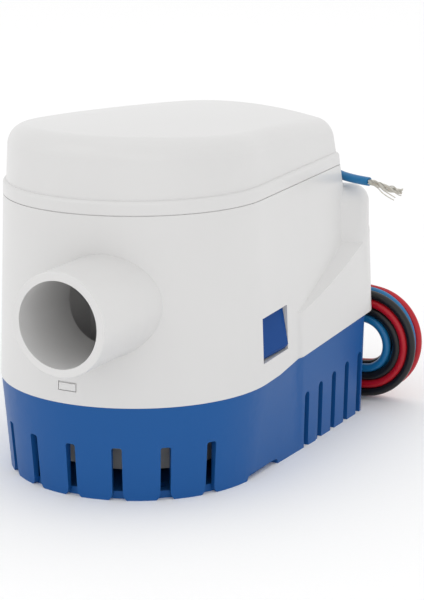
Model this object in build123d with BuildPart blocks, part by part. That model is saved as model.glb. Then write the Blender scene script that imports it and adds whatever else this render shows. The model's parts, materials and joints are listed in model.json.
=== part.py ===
"""Automatic bilge pump: a vertical impeller pump beside a float switch chamber, on a slotted strainer base.

Millimetres, +Z up. The origin is on the motor axis, on the surface that the base stands on.
The outlet nozzle points to -Y and the float chamber is on the +Y side.
"""
from math import cos, pi, radians, sin, tan
import os

from build123d import *

# ---- driving dimensions ----
base_bottom_r = 38.8  # front of the base, on the floor
base_top_r = 41.0  # front of the base, at the housing
split_front_z = 28.0  # where the housing meets the base, at the front
split_slope = 4.6  # degrees that this line rises towards the rear
split_knee_y = 12.0
housing_r = 41.2
side_turn = radians(3.2)  # the sides close by this angle towards the rear
lid_z = 81.8  # lower face of the cover's flange
flange_h = 4.2
crown_z = 101.6
crown_round = 6.2
crown_arches = (  # place along Y, height of its middle, and how far it falls to each side
    (-50.0, 102.0, 0.7),
    (0.0, 102.9, 4.8),
    (60.0, 100.1, 9.2),
    (100.0, 95.6, 12.0),
)
draft = 2.2  # degrees, housing side
rear_y = 66.8  # rear wall of the tall body, where the cover sits on it
rear_lean = 0.305  # this wall's slope, forwards for each millimetre of height
rear_corner = 2.4
past_rear_y = 95.0  # volumes reach this far before the leaning wall cuts them
electrics_rear_y = 65.0  # the electrics space ends a wall's thickness short of this
shell = 2.2  # moulded wall
chamber_y, chamber_rear_y = 62.0, 79.4  # front and rear walls of the float chamber's shoulder
chamber_top_z = 74.5
chamber_half = 42.1
chamber_widening, chamber_widening_y = 7.4, 9.0  # it grows to its full width over this length
chamber_corner, chamber_round = 6.0, 5.5
skirt_half = 43.0  # the flared lower rear of the housing
skirt_start_y = 19.5
skirt_flare = 2.4  # the skirt's sides open by this much towards the rear
skirt_edge_x, skirt_edge_slope = 36.0, 35.0  # its upper edge falls by this angle, in degrees, outside this
rear_base_half = 40.9  # rear part of the base, on the floor
cavity_half = 34.4  # inside the float chamber, beside the motor
skirt_cavity_half, skirt_cavity_z = 38.6, 40.0
cavity_y = 36.2
deck_z = 72.0  # inner deck that carries the electrics
deck_t = 2.0

nozzle_x, nozzle_z = 10.0, 56.6
nozzle_face_y = -61.2
nozzle_inner_y = -30.0
nozzle_r, nozzle_bore_r = 14.5, 12.1
nozzle_root_y, nozzle_root_r = -41.0, 15.3  # the free pipe ends here and widens into the wall
nozzle_bore_end_y = -33.0

slot_w = 3.0
front_slot_h = 15.9
front_slot_pitch = 20.0
floor_t = 2.2
screw_hole_r = 2.2
screw_x, screw_front_y, screw_rear_y = 20.0, -25.0, 33.0

window_y, window_w = 9.4, 18.4
window_z, window_h = 41.0, 13.4
arm_w, arm_t = 15.0, 1.8
arm_foot_z = 8.6
arm_x = 36.6  # outer face of the latch arm
tab_gap = 0.45

casing_r, casing_wall = 29.0, 1.8
casing_z, casing_top_z = 8.0, 24.0
plate_z = 6.0
eye_r = 9.5
impeller_r = 21.0
shaft_r, shaft_play = 2.0, 0.06
can_r, can_wall = 17.6, 1.2
can_z, can_top_z = 26.5, 62.0
end_cap_h = 4.0
tube_r, tube_bore_r = 20.6, 17.8
riser_r, riser_half = 37.2, 14.7
rotor_r, rotor_z, rotor_h = 11.8, 36.0, 18.0
magnet_in_r, magnet_h = 12.6, 21.0
commutator_r, commutator_z, commutator_h = 4.2, 55.4, 5.6

pivot_y, pivot_z, pin_r = 40.0, 12.5, 1.5
float_y, float_len, float_half, float_h = 46.0, 26.0, 26.0, 17.0
float_z = 6.0
float_wall = 1.4
ear_x, ear_t = 26.8, 2.4

wire_d = 2.8
wire_r = wire_d / 2
gland_z = 77.6
lead_pitch = 6.4
hank_y = 88.2  # middle of the hank's depth
hank_half = 37.0  # from the hank's middle to the centre of each end loop
hank_r = 17.4  # outermost strand's end loop
hank_turns, hank_layers = 4, 3
hank_z = hank_r + wire_r + 0.2
tie_w, tie_t = 4.0, 1.1
strip_len, strip_r = 11.0, 1.2

os.makedirs("parts", exist_ok=True)


def save(part, name):
    """Label a finished sub-part and write it as STEP."""
    part.label = name
    export_step(part, f"parts/{name}.step")


def split_z(y):
    """Height of the line between housing and base at y."""
    return split_front_z + max(0.0, y - split_knee_y) * tan(radians(split_slope))


def body_outline(radius, rear_y, corner, turn=side_turn):
    """Round front about the motor axis, with sides that close by the turn towards a straight rear."""
    x, y = radius * cos(turn), radius * sin(turn)
    rear_x = x - (rear_y - y) * tan(turn)
    with BuildSketch() as outline:
        with BuildLine():
            ThreePointArc((-x, y), (0, -radius), (x, y))
            Polyline((x, y), (rear_x, rear_y), (-rear_x, rear_y), (-x, y))
        make_face()
        fillet(outline.vertices().group_by(Axis.Y)[-1], corner)
    return outline.sketch


def rear_outline(half, start_y, rear_y, corner, flare=0.0, lead_in=9.0):
    """Rear block whose slanted front end grows out of the round body, and whose sides flare."""
    front = half - flare
    with BuildSketch() as outline:
        with BuildLine():
            Polyline(
                (front - 3.4, start_y),
                (front, start_y + lead_in),
                (half, rear_y),
                (-half, rear_y),
                (-front, start_y + lead_in),
                (-front + 3.4, start_y),
                close=True,
            )
        make_face()
        fillet(outline.vertices().group_by(Axis.Y)[-1], corner)
    return outline.sketch


def split_profile(top):
    """Side view of everything on one side of the line between housing and base."""
    far_y = 120.0
    z = 140.0 if top else -20.0
    with BuildSketch() as profile:
        with BuildLine():
            Polyline(
                (-far_y, split_front_z),
                (split_knee_y, split_front_z),
                (far_y, split_z(far_y)),
                (far_y, z),
                (-far_y, z),
                close=True,
            )
        make_face()
    return profile.sketch


def before_rear_wall(inset):
    """Side view of everything in front of the leaning rear wall, or of a wall that is further in."""
    high_z, low_z = 130.0, -10.0
    knee_y = chamber_rear_y - 1.4  # the wall turns upright inside the float chamber
    knee_z = lid_z - (knee_y - rear_y) / rear_lean
    with BuildSketch() as profile:
        with BuildLine():
            Polyline(
                (-100.0, low_z),
                (knee_y - inset, low_z),
                (knee_y - inset, knee_z),
                (rear_y - inset - rear_lean * (high_z - lid_z), high_z),
                (-100.0, high_z),
                close=True,
            )
        make_face()
    return profile.sketch


def rear_edges(part):
    """Upright edges at both ends of the leaning rear wall."""
    return part.edges().filter_by(
        lambda edge: abs(edge.center().X) > 30 and edge.center().Y > 60 and edge.bounding_box().size.X < 3
    )


# ---- outer shape of the housing, as separate volumes ----
with BuildPart() as tall_body:
    with BuildSketch(Plane.XY.offset(split_front_z)):
        add(body_outline(housing_r, past_rear_y, 2.0))
    extrude(amount=lid_z - split_front_z, taper=draft)
    with BuildSketch(Plane.YZ):
        add(before_rear_wall(0.0))
    extrude(amount=60, both=True, mode=Mode.INTERSECT)
    fillet(rear_edges(tall_body.part), rear_corner)

# the float chamber's shoulder, which widens out of the tall body's sides
with BuildPart() as chamber_body:
    with BuildSketch(Plane.XY.offset(split_front_z)) as chamber_plan:
        with BuildLine():
            Polyline(
                (chamber_half - chamber_widening, chamber_y),
                (chamber_half, chamber_y + chamber_widening_y),
                (chamber_half, chamber_rear_y),
                (-chamber_half, chamber_rear_y),
                (-chamber_half, chamber_y + chamber_widening_y),
                (chamber_widening - chamber_half, chamber_y),
                close=True,
            )
        make_face()
        fillet(chamber_plan.vertices().sort_by(Axis.Y)[2:], chamber_corner)
    extrude(amount=chamber_top_z - split_front_z, taper=0.8)
    fillet(chamber_body.faces().sort_by(Axis.Z)[-1].edges(), chamber_round)

# the skirt's upper edge sweeps from the latch window up to the rear shoulder
with BuildSketch() as skirt_sweep:
    with BuildLine():
        Polyline((0.0, 41.3), (0.0, -20.0), (100.0, -20.0), (100.0, 76.6))
        ThreePointArc((100.0, 76.6), (48.0, 51.4), (0.0, 41.3))
    make_face()
with BuildPart() as under_sweep:
    with BuildSketch(Plane.YZ.offset(skirt_edge_x)):
        add(skirt_sweep.sketch)
    extrude(amount=12, taper=skirt_edge_slope)
    mirror(about=Plane.YZ)
    with BuildSketch(Plane.YZ):
        add(skirt_sweep.sketch)
    extrude(amount=skirt_edge_x, both=True)

with BuildPart() as skirt:
    with BuildSketch(Plane.XY.offset(split_front_z)):
        add(rear_outline(skirt_half, skirt_start_y, chamber_rear_y + 2.0, 6.5, skirt_flare))
    extrude(amount=chamber_top_z - split_front_z, taper=2.5)
    add(under_sweep.part, mode=Mode.INTERSECT)

with BuildPart() as inner_front:
    with BuildSketch(Plane.XY.offset(split_front_z - 6)):
        add(body_outline(housing_r - shell, 33.8, 2.0))
    extrude(amount=deck_z - split_front_z + 6, taper=draft)

with BuildPart() as nozzle_pipe:
    with BuildSketch(Plane.YZ.offset(nozzle_x)):
        with BuildLine():
            Polyline(
                (nozzle_face_y, nozzle_z),
                (nozzle_face_y, nozzle_z + nozzle_r),
                (nozzle_root_y, nozzle_z + nozzle_r),
                (nozzle_inner_y, nozzle_z + nozzle_root_r),
                (nozzle_inner_y, nozzle_z),
                close=True,
            )
        make_face()
    revolve(axis=Axis((nozzle_x, 0, nozzle_z), (0, 1, 0)))
    fillet(nozzle_pipe.faces().sort_by(Axis.Y)[0].edges(), 0.5)

# ---- main housing ----
with BuildPart() as main_housing:
    add(tall_body.part)
    add(chamber_body.part)
    add(skirt.part)
    with BuildSketch(Plane.YZ):
        add(split_profile(top=True))
    extrude(amount=60, both=True, mode=Mode.INTERSECT)

    # front and rear cavities below the deck
    add(inner_front.part, mode=Mode.SUBTRACT)
    cavity_rear_y = chamber_rear_y - 3.4
    for half, top_z in ((cavity_half, chamber_top_z - 9.0), (skirt_cavity_half, skirt_cavity_z)):
        with BuildSketch(Plane.XY.offset(split_front_z - 2)):
            with Locations((0, (cavity_y + cavity_rear_y) / 2)):
                RectangleRounded(2 * half, cavity_rear_y - cavity_y, 5.0)
        extrude(amount=top_z - split_front_z, mode=Mode.SUBTRACT)
    add(nozzle_pipe.part)

    # electrics space above the deck, open under the cover
    with BuildSketch(Plane.XY.offset(deck_z + deck_t)):
        add(body_outline(housing_r - shell - 1.8, electrics_rear_y - shell, 6.0))
    extrude(amount=20, mode=Mode.SUBTRACT)

    # motor tube and the riser that carries water up to the nozzle
    with BuildSketch(Plane.XY.offset(casing_top_z)):
        Circle(tube_r)
        with BuildSketch(mode=Mode.PRIVATE) as riser_plan:
            add(body_outline(riser_r, 30.0, 2.0))
            with Locations((nozzle_x, -25.0)):
                Rectangle(2 * riser_half + 4.4, 34.0, mode=Mode.INTERSECT)
        add(riser_plan.sketch)
    extrude(amount=deck_z + 0.5 - casing_top_z)
    with BuildSketch(Plane.XY.offset(casing_top_z)):
        with BuildSketch(mode=Mode.PRIVATE) as riser_void:
            add(body_outline(riser_r - 1.6, 30.0, 2.0))
            with Locations((nozzle_x, -26.0)):
                Rectangle(2 * riser_half, 32.0, mode=Mode.INTERSECT)
            Circle(tube_r, mode=Mode.SUBTRACT)
        add(riser_void.sketch)
    extrude(amount=deck_z - 1.0 - casing_top_z, mode=Mode.SUBTRACT)
    with BuildSketch(Plane.XY.offset(can_z)):
        Circle(tube_bore_r)
    extrude(amount=60, mode=Mode.SUBTRACT)
    with BuildSketch(Plane.XY.offset(casing_top_z)):
        Circle(6.5)
    extrude(amount=can_z - casing_top_z, mode=Mode.SUBTRACT)

    # nozzle bore, through the front wall into the riser
    with BuildSketch(Plane.XZ.offset(-nozzle_face_y)):
        with Locations((nozzle_x, nozzle_z)):
            Circle(nozzle_bore_r)
    extrude(amount=nozzle_face_y - nozzle_bore_end_y, mode=Mode.SUBTRACT)

    # latch windows in both sides
    with BuildSketch(Plane.YZ):
        with Locations((window_y, window_z)):
            Rectangle(window_w, window_h)
    extrude(amount=60, both=True, mode=Mode.SUBTRACT)

    # snap hook's outline, moulded in the front above the base
    with BuildSketch(Plane.XZ.offset(housing_r - 0.8)):
        with Locations((0, 33.0)):
            Rectangle(6.0, 2.7)
        with Locations((0, 32.9)):
            Rectangle(5.4, 2.0, mode=Mode.SUBTRACT)
    extrude(amount=5, mode=Mode.SUBTRACT)

    # opening for the cable gland
    with BuildSketch(Plane.XZ.offset(-electrics_rear_y + 8)):
        with Locations((0, gland_z)):
            RectangleRounded(20.0, 5.2, 1.5)
    extrude(amount=-20, mode=Mode.SUBTRACT)
save(main_housing.part, "main_housing")

# ---- cover ----
flange_r = housing_r - (lid_z - split_front_z) * tan(radians(draft))
rim_r = housing_r - shell - 1.8

# everything under the crown, whose arch across the cover deepens towards the rear
with BuildPart() as crown_volume:
    for y, middle_z, fall in crown_arches:
        with BuildSketch(Plane.XZ.offset(-y)):
            with BuildLine():
                ThreePointArc((-50, middle_z - fall), (0, middle_z), (50, middle_z - fall))
                Polyline((50, middle_z - fall), (50, lid_z - 10), (-50, lid_z - 10), (-50, middle_z - fall))
            make_face()
    loft()

with BuildPart() as cover_flange:
    with BuildSketch(Plane.XY.offset(lid_z)):
        add(body_outline(flange_r, past_rear_y, 2.0))
    extrude(amount=flange_h)
    with BuildSketch(Plane.YZ):
        add(before_rear_wall(0.0))
    extrude(amount=60, both=True, mode=Mode.INTERSECT)
    fillet(rear_edges(cover_flange.part), rear_corner)
    fillet(cover_flange.faces().sort_by(Axis.Z)[-1].edges(), 1.2)
    chamfer(cover_flange.faces().sort_by(Axis.Z)[0].edges(), 0.3)

with BuildPart() as top_cover:
    # the wall closes slightly upwards, and the leaning rear wall cuts its rounded top
    with BuildSketch(Plane.XY.offset(lid_z + flange_h - 0.6)):
        add(body_outline(flange_r - 1.0, past_rear_y, 9.0))
    with BuildSketch(Plane.XY.offset(crown_z + 2)):
        add(body_outline(flange_r - 2.0, past_rear_y, 9.0))
    loft()
    add(crown_volume.part, mode=Mode.INTERSECT)
    fillet(top_cover.faces().sort_by(Axis.Z)[-1].edges(), crown_round)
    with BuildSketch(Plane.YZ):
        add(before_rear_wall(0.7))
    extrude(amount=60, both=True, mode=Mode.INTERSECT)
    fillet(top_cover.faces().sort_by(Axis.Y)[-1].edges().filter_by(
        lambda edge: edge.center().Z > lid_z + flange_h), 1.4)
    add(cover_flange.part)
    with BuildSketch(Plane.XY.offset(lid_z)):
        add(body_outline(rim_r - 2.0, electrics_rear_y - shell - 3.0, 5.0))
    extrude(amount=crown_z - lid_z - 8.5, taper=2.0, mode=Mode.SUBTRACT)
save(top_cover.part, "top_cover")

with BuildPart() as cover_seal:
    with BuildSketch(Plane.XY.offset(lid_z)):
        add(body_outline(rim_r - 0.1, electrics_rear_y - shell - 0.1, 5.9))
        add(body_outline(rim_r - 1.7, electrics_rear_y - shell - 1.7, 5.0), mode=Mode.SUBTRACT)
    extrude(amount=-1.6)
save(cover_seal.part, "cover_seal")

# ---- strainer base ----
base_inner_r = 37.4
slot_depth_r = base_inner_r - 0.4  # the slots cut just through the wall
rear_inner_y, rear_inner_half = chamber_rear_y - 4.0, 38.2
drum_h = 34.0
drum_growth = (base_top_r - base_bottom_r) * drum_h / split_front_z
foot_turn, drum_turn = radians(-2.5), radians(4.4)  # the side panels flare at the floor
with BuildPart() as strainer_base:
    with BuildSketch(Plane.XY):
        add(body_outline(base_bottom_r, 40.0, 2.0, foot_turn))
    with BuildSketch(Plane.XY.offset(drum_h)):
        add(body_outline(base_bottom_r + drum_growth, 40.0, 2.0, drum_turn))
    loft()
    with BuildSketch(Plane.XY):
        add(rear_outline(rear_base_half, 19.5, chamber_rear_y - 1.0, 7.0, flare=0.9))
    extrude(amount=50, taper=-1.2)
    with BuildSketch(Plane.YZ):
        add(split_profile(top=False))
    extrude(amount=60, both=True, mode=Mode.INTERSECT)
    # open inside, above the floor
    with BuildSketch(Plane.XY.offset(floor_t)):
        add(body_outline(base_inner_r, 40.0, 2.0))
        with Locations((0, rear_inner_y / 2)):
            RectangleRounded(2 * base_inner_r, rear_inner_y, 4.0)
        with Locations((0, (rear_inner_y + 29.0) / 2)):
            RectangleRounded(2 * rear_inner_half, rear_inner_y - 29.0, 4.0)
    extrude(amount=60, mode=Mode.SUBTRACT)
    # spigot that fits inside the housing's front
    with BuildSketch(Plane.XY.offset(split_front_z - 3)):
        add(body_outline(housing_r - shell - 0.7, 33.4, 2.0))
        add(body_outline(base_inner_r, 60.0, 2.0), mode=Mode.SUBTRACT)
        with Locations((0, 30.0)):
            Rectangle(100.0, 66.0, mode=Mode.SUBTRACT)
    extrude(amount=5.5)
    # inlet slots round the front, open at the bottom between rounded rib feet
    for k in range(-3, 3):
        slot_plane = Plane.XZ.rotated((0, 0, (k + 0.5) * front_slot_pitch + 10.0)).offset(slot_depth_r)
        with BuildSketch(slot_plane):
            with Locations((0, front_slot_h / 2 - 1)):
                RectangleRounded(slot_w, front_slot_h + 2, 0.7)
            with BuildLine():
                foot = slot_w / 2
                RadiusArc((-foot, 2.2), (-foot - 1.4, -0.2), 3.0)
                Polyline((-foot - 1.4, -0.2), (foot + 1.4, -0.2))
                RadiusArc((foot + 1.4, -0.2), (foot, 2.2), 3.0)
                Polyline((foot, 2.2), (-foot, 2.2))
            make_face()
        extrude(amount=10, mode=Mode.SUBTRACT)
    # inlet slots along both sides of the float chamber, taller towards the rear
    for side in (-1, 1):
        for k in range(5):
            slot_y = 31.8 + 9.6 * k
            with BuildSketch(Plane.YZ.offset(side * (rear_inner_half - 0.4))):
                with Locations((slot_y, 8.0 + 0.38 * k)):
                    SlotOverall(19.0 + 0.75 * k, slot_w, rotation=90)
                with Locations((slot_y, -0.5)):
                    Rectangle(slot_w, 4.0)
            extrude(amount=side * 10, mode=Mode.SUBTRACT)
        # finger relief under each latch
        with BuildSketch(Plane.YZ.offset(side * slot_depth_r)):
            with Locations((4.2, 0)):
                RectangleRounded(18.5, 3.6, 1.7)
        extrude(amount=side * 10, mode=Mode.SUBTRACT)
        # ears for the float's pivot pin
        with BuildSketch(Plane.YZ.offset(side * ear_x)):
            with BuildLine():
                Line((pivot_y + 4, floor_t), (pivot_y + 4, pivot_z))
                ThreePointArc((pivot_y + 4, pivot_z), (pivot_y, pivot_z + 4), (pivot_y - 4, pivot_z))
                Polyline((pivot_y - 4, pivot_z), (pivot_y - 4, floor_t), (pivot_y + 4, floor_t))
            make_face()
            with Locations((pivot_y, pivot_z)):
                Circle(pin_r, mode=Mode.SUBTRACT)
        extrude(amount=ear_t / 2, both=True)
        # rest for the float
        with BuildSketch(Plane.XY.offset(floor_t)):
            with Locations((side * 12.0, 66.0)):
                Rectangle(3.0, 6.0)
        extrude(amount=float_z - 0.1 - floor_t)
    with Locations(
        *[(x, y, floor_t) for x in (-screw_x, screw_x) for y in (screw_front_y, screw_rear_y)]
    ):
        Hole(screw_hole_r, depth=floor_t + 1)
save(strainer_base.part, "strainer_base")

# ---- side latches, pressed in through the housing's windows ----
for side, name in ((1, "side_latch_right"), (-1, "side_latch_left")):
    with BuildPart() as side_latch:
        with BuildSketch(Plane.YZ.offset(side * (arm_x - arm_t))):
            with Locations((window_y, (arm_foot_z + window_z + window_h / 2 - tab_gap) / 2)):
                Rectangle(arm_w, window_z + window_h / 2 - tab_gap - arm_foot_z)
        extrude(amount=side * arm_t)
        with BuildSketch(Plane.XZ.offset(-window_y)):
            low, high = window_z - window_h / 2 + tab_gap, window_z + window_h / 2 - tab_gap
            with BuildLine():
                Polyline(
                    (side * (arm_x - 0.5), low),
                    (side * (arm_x + 2.8), low),
                    (side * (arm_x + 3.6), low + 1.2),
                    (side * (arm_x + 1.5), high),
                    (side * (arm_x - 0.5), high),
                    close=True,
                )
            make_face()
        extrude(amount=window_w / 2 - tab_gap, both=True)
    save(side_latch.part, name)

# ---- pump: volute casing, intake plate and impeller ----
with BuildPart() as volute_casing:
    with BuildSketch(Plane.XY.offset(casing_z)):
        Circle(casing_r)
    extrude(amount=casing_top_z - casing_z)
    with BuildSketch(Plane.XY.offset(casing_z)):
        Circle(casing_r - casing_wall)
    extrude(amount=casing_top_z - casing_z - casing_wall, mode=Mode.SUBTRACT)
    with BuildSketch(Plane.XY.offset(casing_top_z)):
        Circle(6.5)
        with BuildSketch(mode=Mode.PRIVATE) as port:
            with Locations((nozzle_x, -24.0)):
                Rectangle(2 * nozzle_bore_r, 10.0)
            Circle(casing_r - casing_wall, mode=Mode.INTERSECT)
            Circle(tube_r, mode=Mode.SUBTRACT)
        add(port.sketch)
    extrude(amount=-casing_wall, mode=Mode.SUBTRACT)
save(volute_casing.part, "volute_casing")

with BuildPart() as intake_plate:
    with BuildSketch(Plane.XY.offset(plate_z)):
        Circle(casing_r)
        Circle(eye_r, mode=Mode.SUBTRACT)
    extrude(amount=casing_z - plate_z)
    with BuildSketch(Plane.XY.offset(plate_z - 1.4)):
        Circle(eye_r + 1.6)
        Circle(eye_r, mode=Mode.SUBTRACT)
    extrude(amount=1.4)
    with PolarLocations(casing_r - 5.0, 3, start_angle=90):
        Hole(1.3)
save(intake_plate.part, "intake_plate")

with BuildPart() as intake_screws:
    with BuildSketch(Plane.XY.offset(plate_z)):
        with PolarLocations(casing_r - 5.0, 3, start_angle=90):
            Circle(2.4)
    extrude(amount=-1.8)
    with BuildSketch(Plane.XY.offset(plate_z)):
        with PolarLocations(casing_r - 5.0, 3, start_angle=90):
            Circle(1.3)
    extrude(amount=casing_z - plate_z)
save(intake_screws.part, "intake_screws")

impeller_z, impeller_top = 10.0, 20.0
with BuildPart() as impeller:
    with BuildSketch(Plane.XY.offset(impeller_top - 1.8)):
        Circle(impeller_r)
    extrude(amount=1.8)
    with BuildSketch(Plane.XY.offset(impeller_z)):
        Circle(5.0)
    extrude(amount=impeller_top - 1.8 - impeller_z)
    with BuildSketch(Plane.XY.offset(impeller_z)):
        with PolarLocations(0, 6):
            with BuildLine():
                inner_arc = RadiusArc((4.0, 0.8), (impeller_r - 0.4, 7.0), -24)
                outer_arc = RadiusArc((4.4, -0.8), (impeller_r - 0.2, 5.2), -24)
                Line(inner_arc @ 0, outer_arc @ 0)
                Line(inner_arc @ 1, outer_arc @ 1)
            make_face()
    extrude(amount=impeller_top - 1.8 - impeller_z)
    with Locations((0, 0, impeller_z)):
        Hole(shaft_r, depth=40)
    with BuildSketch(Plane.XY.offset(impeller_z)):
        Circle(shaft_r + 1.6)
    extrude(amount=1.0)
save(impeller.part, "impeller")

# ---- motor ----
with BuildPart() as motor_shaft:
    with BuildSketch(Plane.XY.offset(impeller_z + 1.0)):
        Circle(shaft_r)
    extrude(amount=can_top_z + end_cap_h + 2.0 - impeller_z - 1.0)
    chamfer(motor_shaft.faces().sort_by(Axis.Z)[-1].edges(), 0.4)
save(motor_shaft.part, "motor_shaft")

with BuildPart() as shaft_seal:
    with BuildSketch(Plane.XZ):
        with BuildLine():
            Polyline(
                (shaft_r + shaft_play, casing_top_z - casing_wall),
                (6.5, casing_top_z - casing_wall),
                (6.5, can_z),
                (4.6, can_z),
                (4.6, casing_top_z - 0.4),
                (2.9, casing_top_z - 0.4),
                (2.7, can_z - 0.7),
                (shaft_r + shaft_play, can_z - 0.7),
                close=True,
            )
        make_face()
    revolve(axis=Axis.Z)
save(shaft_seal.part, "shaft_seal")

bush_r = 4.6
with BuildPart() as motor_can:
    with BuildSketch(Plane.XY.offset(can_z)):
        Circle(can_r)
    extrude(amount=can_top_z - can_z)
    fillet(motor_can.faces().sort_by(Axis.Z)[0].edges(), 1.6)
    with BuildSketch(Plane.XY.offset(can_z + can_wall)):
        Circle(can_r - can_wall)
    extrude(amount=60, mode=Mode.SUBTRACT)
    with BuildSketch(Plane.XY.offset(can_z + can_wall)):
        Circle(bush_r + 1.2)
    extrude(amount=4.2)
    with BuildSketch(Plane.XY.offset(can_z)):
        Circle(bush_r)
    extrude(amount=20, mode=Mode.SUBTRACT)
save(motor_can.part, "motor_can")

for name, z, h in (("lower_bush", can_z, 5.4), ("upper_bush", can_top_z, end_cap_h)):
    with BuildPart() as bush:
        with BuildSketch(Plane.XY.offset(z)):
            Circle(bush_r)
            Circle(shaft_r + shaft_play, mode=Mode.SUBTRACT)
        extrude(amount=h)
    save(bush.part, name)

with BuildPart() as motor_end_cap:
    with BuildSketch(Plane.XY.offset(can_top_z)):
        Circle(can_r)
        Circle(bush_r, mode=Mode.SUBTRACT)
        for side in (-1, 1):
            with Locations((0, side * 12.4)):
                Rectangle(3.2, 1.0, mode=Mode.SUBTRACT)
    extrude(amount=end_cap_h)
    # brush guides reach down beside the commutator
    brush_z = commutator_z + commutator_h / 2
    for side in (-1, 1):
        with BuildSketch(Plane.YZ.offset(side * (commutator_r + 2.4))):
            with Locations((0, (can_top_z + brush_z - 2.6) / 2)):
                Rectangle(7.0, can_top_z - brush_z + 2.6)
            with Locations((0, brush_z)):
                Rectangle(4.4, 3.6, mode=Mode.SUBTRACT)
        extrude(amount=side * 5.6)
save(motor_end_cap.part, "motor_end_cap")

for side, name in ((1, "brush_right"), (-1, "brush_left")):
    with BuildPart() as brush:
        with BuildSketch(Plane.YZ.offset(side * (commutator_r + 0.2))):
            with Locations((0, brush_z)):
                Rectangle(4.3, 3.5)
        extrude(amount=side * 5.6)
    save(brush.part, name)

with BuildPart() as brush_springs:
    for side in (-1, 1):
        with BuildSketch(Plane.XY.offset(brush_z - 1.4)):
            with BuildLine():
                heel = side * (commutator_r + 5.8)
                Polyline((heel, -1.6), (heel, 1.6), (heel + side * 0.4, 1.6), (heel + side * 0.4, -1.6), close=True)
            make_face()
            with BuildLine():
                Polyline(
                    (heel + side * 0.3, 1.6),
                    (heel + side * 2.6, -1.6),
                    (heel + side * 3.0, -1.6),
                    (heel + side * 0.4, 1.6),
                    close=True,
                )
            make_face()
        extrude(amount=2.8)
save(brush_springs.part, "brush_springs")

for start, name in ((-65, "magnet_right"), (115, "magnet_left")):
    with BuildPart() as magnet:
        with BuildSketch(Plane.XY.offset(rotor_z - 2.5)):
            Circle(can_r - can_wall)
            Circle(magnet_in_r, mode=Mode.SUBTRACT)
            with BuildLine():
                a, b, reach = radians(start), radians(start + 130), 60.0
                Polyline(
                    (0, 0),
                    (reach * cos(a), reach * sin(a)),
                    (reach * 2 * cos((a + b) / 2), reach * 2 * sin((a + b) / 2)),
                    (reach * cos(b), reach * sin(b)),
                    close=True,
                )
            make_face(mode=Mode.INTERSECT)
        extrude(amount=magnet_h)
    save(magnet.part, name)

poles = 5
with BuildPart() as rotor_core:
    with BuildSketch(Plane.XY.offset(rotor_z)):
        Circle(rotor_r)
        Circle(shaft_r, mode=Mode.SUBTRACT)
        with PolarLocations(8.0, poles, start_angle=36):
            SlotOverall(5.6, 3.6, rotation=90, mode=Mode.SUBTRACT)
        with PolarLocations(rotor_r, poles, start_angle=36):
            Rectangle(4.0, 1.2, mode=Mode.SUBTRACT)
    extrude(amount=rotor_h)
save(rotor_core.part, "rotor_core")

with BuildPart() as rotor_windings:
    with BuildSketch(Plane.XY.offset(rotor_z + rotor_h)):
        Circle(rotor_r - 1.2)
        Circle(shaft_r + 1.2, mode=Mode.SUBTRACT)
    extrude(amount=1.2)
    with BuildSketch(Plane.XY.offset(rotor_z)):
        Circle(rotor_r - 1.2)
        Circle(shaft_r + 1.2, mode=Mode.SUBTRACT)
    extrude(amount=-2.6)
    with BuildSketch(Plane.XY.offset(rotor_z)):
        with PolarLocations(8.0, poles, start_angle=36):
            SlotOverall(5.4, 3.4, rotation=90)
    extrude(amount=rotor_h)
save(rotor_windings.part, "rotor_windings")

with BuildPart() as commutator:
    with BuildSketch(Plane.XY.offset(commutator_z)):
        Circle(commutator_r)
        Circle(shaft_r, mode=Mode.SUBTRACT)
        with PolarLocations(commutator_r, 5):
            Rectangle(0.8, 0.4, mode=Mode.SUBTRACT)
    extrude(amount=commutator_h)
save(commutator.part, "commutator")

with BuildPart() as motor_terminals:
    for side in (-1, 1):
        with BuildSketch(Plane.XY.offset(can_top_z + end_cap_h)):
            with Locations((side * 11.0, 0)):
                Rectangle(0.8, 4.6)
        extrude(amount=5.5)
save(motor_terminals.part, "motor_terminals")

# ---- electrics above the deck ----
board_y, board_len, board_w = 36.0, 28.0, 38.0
board_z, board_t = deck_z + deck_t + 2.4, 1.6
with BuildPart() as board_posts:
    with BuildSketch(Plane.XY.offset(deck_z + deck_t)):
        with Locations((0, board_y)):
            with GridLocations(board_w - 6, board_len - 6, 2, 2):
                Circle(2.2)
    extrude(amount=board_z - deck_z - deck_t)
save(board_posts.part, "board_posts")

with BuildPart() as control_board:
    with BuildSketch(Plane.XY.offset(board_z)):
        with Locations((0, board_y)):
            RectangleRounded(board_w, board_len, 1.5)
            with GridLocations(board_w - 6, board_len - 6, 2, 2):
                Circle(1.1, mode=Mode.SUBTRACT)
    extrude(amount=board_t)
save(control_board.part, "control_board")

with BuildPart() as board_screws:
    with BuildSketch(Plane.XY.offset(board_z + board_t)):
        with Locations((0, board_y)):
            with GridLocations(board_w - 6, board_len - 6, 2, 2):
                Circle(2.0)
    extrude(amount=1.2)
    with BuildSketch(Plane.XY.offset(board_z)):
        with Locations((0, board_y)):
            with GridLocations(board_w - 6, board_len - 6, 2, 2):
                Circle(1.1)
    extrude(amount=board_t)
save(board_screws.part, "board_screws")

with BuildPart() as power_switch:
    with BuildSketch(Plane.XY.offset(board_z + board_t)):
        with Locations((-6, board_y)):
            Rectangle(10.0, 9.0)
    extrude(amount=5.0)
    chamfer(power_switch.faces().sort_by(Axis.Z)[-1].edges(), 0.5)
save(power_switch.part, "power_switch")

with BuildPart() as smoothing_capacitor:
    with BuildSketch(Plane.XY.offset(board_z + board_t)):
        with Locations((8, board_y)):
            Circle(4.0)
    extrude(amount=9.0)
    fillet(smoothing_capacitor.faces().sort_by(Axis.Z)[-1].edges(), 0.6)
save(smoothing_capacitor.part, "smoothing_capacitor")

# ---- float switch ----
with BuildPart() as float_sensor:
    with BuildSketch(Plane.XZ.offset(-36.2)):
        with Locations((0, 40.0)):
            RectangleRounded(7.0, 18.0, 1.5)
    extrude(amount=-4.0)
save(float_sensor.part, "float_sensor")

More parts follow.
